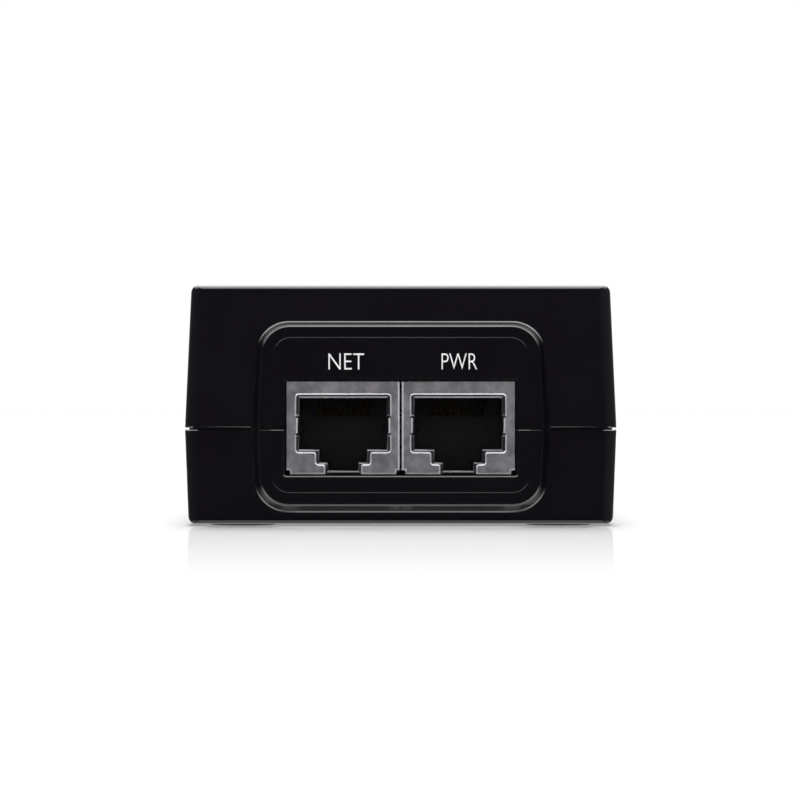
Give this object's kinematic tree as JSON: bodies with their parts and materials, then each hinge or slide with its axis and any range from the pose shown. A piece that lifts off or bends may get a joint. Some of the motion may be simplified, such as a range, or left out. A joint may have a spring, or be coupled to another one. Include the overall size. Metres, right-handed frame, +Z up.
{
  "type": "poe injector",
  "caption": "Black two-shell desktop injector that adds power to a network cable: shielded modular jacks side by side in a recessed panel, mains inlet at the back.",
  "frame": {"origin": "on the table under the middle of the case, level with the underside of the feet", "axes": "+Z up, +X to the right of someone who faces the jacks, jacks facing -Y, mains inlet facing +Y"},
  "size_m": [0.061, 0.11, 0.034],
  "materials": {
    "case_plastic": "black ABS and polycarbonate moulding with a fine satin gloss",
    "foot_rubber": "matt black rubber disc",
    "zinc_steel": "zinc-plated steel",
    "clear_acrylic": "polished clear acrylic, frosted at the top",
    "shield_steel": "tin-plated steel sheet, slightly mottled, with bright bent edges",
    "jack_plastic": "black glass-filled nylon",
    "gold_plate": "gold-plated phosphor bronze wire",
    "inlet_plastic": "black nylon moulding",
    "nickel_brass": "nickel-plated brass blade",
    "board_laminate": "glass-epoxy laminate with green solder resist",
    "component_black": "black epoxy moulding",
    "ferrite": "dark grey sintered ferrite",
    "capacitor_sleeve": "aluminium can in a dark shrink sleeve",
    "led_resin": "milky white epoxy",
    "winding_tape": "yellow polyester tape over copper turns",
    "copper_wire": "enamelled copper wire",
    "heatsink_aluminium": "bent aluminium sheet",
    "ceramic_blue": "blue dipped ceramic",
    "film_yellow": "yellow flame-retardant plastic case"
  },
  "bodies": {
    "root": {"bridge_rectifier": "component_black", "bulk_capacitor": "capacitor_sleeve", "case_screw_front_left": "zinc_steel", "case_screw_front_right": "zinc_steel", "case_screw_rear_left": "zinc_steel", "case_screw_rear_right": "zinc_steel", "data_jack_body": "jack_plastic", "data_jack_shield": "shield_steel", "diode_heatsink": "heatsink_aluminium", "ethernet_transformer": "component_black", "filter_capacitor": "film_yellow", "filter_choke_core": "ferrite", "filter_choke_winding": "copper_wire", "fuse": "component_black", "inlet_body": "inlet_plastic", "inlet_earth_pin": "nickel_brass", "inlet_live_pin": "nickel_brass", "inlet_neutral_pin": "nickel_brass", "lower_shell": "case_plastic", "main_board": "board_laminate", "optocoupler": "component_black", "output_capacitor_1": "capacitor_sleeve", "output_capacitor_2": "capacitor_sleeve", "output_diode": "component_black", "output_inductor": "ferrite", "power_jack_body": "jack_plastic", "power_jack_shield": "shield_steel", "rubber_foot_front_left": "foot_rubber", "rubber_foot_front_right": "foot_rubber", "rubber_foot_rear_left": "foot_rubber", "rubber_foot_rear_right": "foot_rubber", "safety_capacitor": "ceramic_blue", "status_led": "led_resin", "status_light_pipe": "clear_acrylic", "switching_transistor": "component_black", "transformer_core": "ferrite", "transformer_winding": "winding_tape", "transistor_heatsink": "heatsink_aluminium", "upper_shell": "case_plastic"},
    "data_contact_1": {"data_contact_1": "gold_plate"},
    "data_contact_2": {"data_contact_2": "gold_plate"},
    "data_contact_3": {"data_contact_3": "gold_plate"},
    "data_contact_4": {"data_contact_4": "gold_plate"},
    "data_contact_5": {"data_contact_5": "gold_plate"},
    "data_contact_6": {"data_contact_6": "gold_plate"},
    "data_contact_7": {"data_contact_7": "gold_plate"},
    "data_contact_8": {"data_contact_8": "gold_plate"},
    "data_ground_spring_left": {"data_ground_spring_left": "shield_steel"},
    "data_ground_spring_right": {"data_ground_spring_right": "shield_steel"},
    "power_contact_1": {"power_contact_1": "gold_plate"},
    "power_contact_2": {"power_contact_2": "gold_plate"},
    "power_contact_3": {"power_contact_3": "gold_plate"},
    "power_contact_4": {"power_contact_4": "gold_plate"},
    "power_contact_5": {"power_contact_5": "gold_plate"},
    "power_contact_6": {"power_contact_6": "gold_plate"},
    "power_contact_7": {"power_contact_7": "gold_plate"},
    "power_contact_8": {"power_contact_8": "gold_plate"},
    "power_ground_spring_left": {"power_ground_spring_left": "shield_steel"},
    "power_ground_spring_right": {"power_ground_spring_right": "shield_steel"}
  },
  "joints": [
    {"name": "data_contact_1_flex", "type": "hinge", "parent": "root", "child": "data_contact_1", "pos_m": [-0.01171, -0.0492, 0.01872], "axis": [1, 0, 0], "range_deg": [0, 12], "stiffness_Nm_per_rad": 0.04},
    {"name": "data_contact_2_flex", "type": "hinge", "parent": "root", "child": "data_contact_2", "pos_m": [-0.01069, -0.0492, 0.01872], "axis": [1, 0, 0], "range_deg": [0, 12], "stiffness_Nm_per_rad": 0.04},
    {"name": "data_contact_3_flex", "type": "hinge", "parent": "root", "child": "data_contact_3", "pos_m": [-0.00967, -0.0492, 0.01872], "axis": [1, 0, 0], "range_deg": [0, 12], "stiffness_Nm_per_rad": 0.04},
    {"name": "data_contact_4_flex", "type": "hinge", "parent": "root", "child": "data_contact_4", "pos_m": [-0.00866, -0.0492, 0.01872], "axis": [1, 0, 0], "range_deg": [0, 12], "stiffness_Nm_per_rad": 0.04},
    {"name": "data_contact_5_flex", "type": "hinge", "parent": "root", "child": "data_contact_5", "pos_m": [-0.00764, -0.0492, 0.01872], "axis": [1, 0, 0], "range_deg": [0, 12], "stiffness_Nm_per_rad": 0.04},
    {"name": "data_contact_6_flex", "type": "hinge", "parent": "root", "child": "data_contact_6", "pos_m": [-0.00663, -0.0492, 0.01872], "axis": [1, 0, 0], "range_deg": [0, 12], "stiffness_Nm_per_rad": 0.04},
    {"name": "data_contact_7_flex", "type": "hinge", "parent": "root", "child": "data_contact_7", "pos_m": [-0.00561, -0.0492, 0.01872], "axis": [1, 0, 0], "range_deg": [0, 12], "stiffness_Nm_per_rad": 0.04},
    {"name": "data_contact_8_flex", "type": "hinge", "parent": "root", "child": "data_contact_8", "pos_m": [-0.00459, -0.0492, 0.01872], "axis": [1, 0, 0], "range_deg": [0, 12], "stiffness_Nm_per_rad": 0.04},
    {"name": "data_ground_spring_left_flex", "type": "hinge", "parent": "root", "child": "data_ground_spring_left", "pos_m": [-0.01487, -0.05275, 0.01418], "axis": [0, 0, 1], "range_deg": [0, 14], "stiffness_Nm_per_rad": 0.06},
    {"name": "data_ground_spring_right_flex", "type": "hinge", "parent": "root", "child": "data_ground_spring_right", "pos_m": [-0.00143, -0.05275, 0.01418], "axis": [0, 0, -1], "range_deg": [0, 14], "stiffness_Nm_per_rad": 0.06},
    {"name": "power_contact_1_flex", "type": "hinge", "parent": "root", "child": "power_contact_1", "pos_m": [0.00459, -0.0492, 0.01872], "axis": [1, 0, 0], "range_deg": [0, 12], "stiffness_Nm_per_rad": 0.04},
    {"name": "power_contact_2_flex", "type": "hinge", "parent": "root", "child": "power_contact_2", "pos_m": [0.00561, -0.0492, 0.01872], "axis": [1, 0, 0], "range_deg": [0, 12], "stiffness_Nm_per_rad": 0.04},
    {"name": "power_contact_3_flex", "type": "hinge", "parent": "root", "child": "power_contact_3", "pos_m": [0.00663, -0.0492, 0.01872], "axis": [1, 0, 0], "range_deg": [0, 12], "stiffness_Nm_per_rad": 0.04},
    {"name": "power_contact_4_flex", "type": "hinge", "parent": "root", "child": "power_contact_4", "pos_m": [0.00764, -0.0492, 0.01872], "axis": [1, 0, 0], "range_deg": [0, 12], "stiffness_Nm_per_rad": 0.04},
    {"name": "power_contact_5_flex", "type": "hinge", "parent": "root", "child": "power_contact_5", "pos_m": [0.00866, -0.0492, 0.01872], "axis": [1, 0, 0], "range_deg": [0, 12], "stiffness_Nm_per_rad": 0.04},
    {"name": "power_contact_6_flex", "type": "hinge", "parent": "root", "child": "power_contact_6", "pos_m": [0.00967, -0.0492, 0.01872], "axis": [1, 0, 0], "range_deg": [0, 12], "stiffness_Nm_per_rad": 0.04},
    {"name": "power_contact_7_flex", "type": "hinge", "parent": "root", "child": "power_contact_7", "pos_m": [0.01069, -0.0492, 0.01872], "axis": [1, 0, 0], "range_deg": [0, 12], "stiffness_Nm_per_rad": 0.04},
    {"name": "power_contact_8_flex", "type": "hinge", "parent": "root", "child": "power_contact_8", "pos_m": [0.01171, -0.0492, 0.01872], "axis": [1, 0, 0], "range_deg": [0, 12], "stiffness_Nm_per_rad": 0.04},
    {"name": "power_ground_spring_left_flex", "type": "hinge", "parent": "root", "child": "power_ground_spring_left", "pos_m": [0.00143, -0.05275, 0.01418], "axis": [0, 0, 1], "range_deg": [0, 14], "stiffness_Nm_per_rad": 0.06},
    {"name": "power_ground_spring_right_flex", "type": "hinge", "parent": "root", "child": "power_ground_spring_right", "pos_m": [0.01487, -0.05275, 0.01418], "axis": [0, 0, -1], "range_deg": [0, 14], "stiffness_Nm_per_rad": 0.06}
  ],
  "couplings": [
    {"joint": "data_contact_2_flex", "follows": "data_contact_1_flex", "ratio": 1},
    {"joint": "data_contact_3_flex", "follows": "data_contact_1_flex", "ratio": 1},
    {"joint": "data_contact_4_flex", "follows": "data_contact_1_flex", "ratio": 1},
    {"joint": "data_contact_5_flex", "follows": "data_contact_1_flex", "ratio": 1},
    {"joint": "data_contact_6_flex", "follows": "data_contact_1_flex", "ratio": 1},
    {"joint": "data_contact_7_flex", "follows": "data_contact_1_flex", "ratio": 1},
    {"joint": "data_contact_8_flex", "follows": "data_contact_1_flex", "ratio": 1},
    {"joint": "power_contact_2_flex", "follows": "power_contact_1_flex", "ratio": 1},
    {"joint": "power_contact_3_flex", "follows": "power_contact_1_flex", "ratio": 1},
    {"joint": "power_contact_4_flex", "follows": "power_contact_1_flex", "ratio": 1},
    {"joint": "power_contact_5_flex", "follows": "power_contact_1_flex", "ratio": 1},
    {"joint": "power_contact_6_flex", "follows": "power_contact_1_flex", "ratio": 1},
    {"joint": "power_contact_7_flex", "follows": "power_contact_1_flex", "ratio": 1},
    {"joint": "power_contact_8_flex", "follows": "power_contact_1_flex", "ratio": 1}
  ]
}
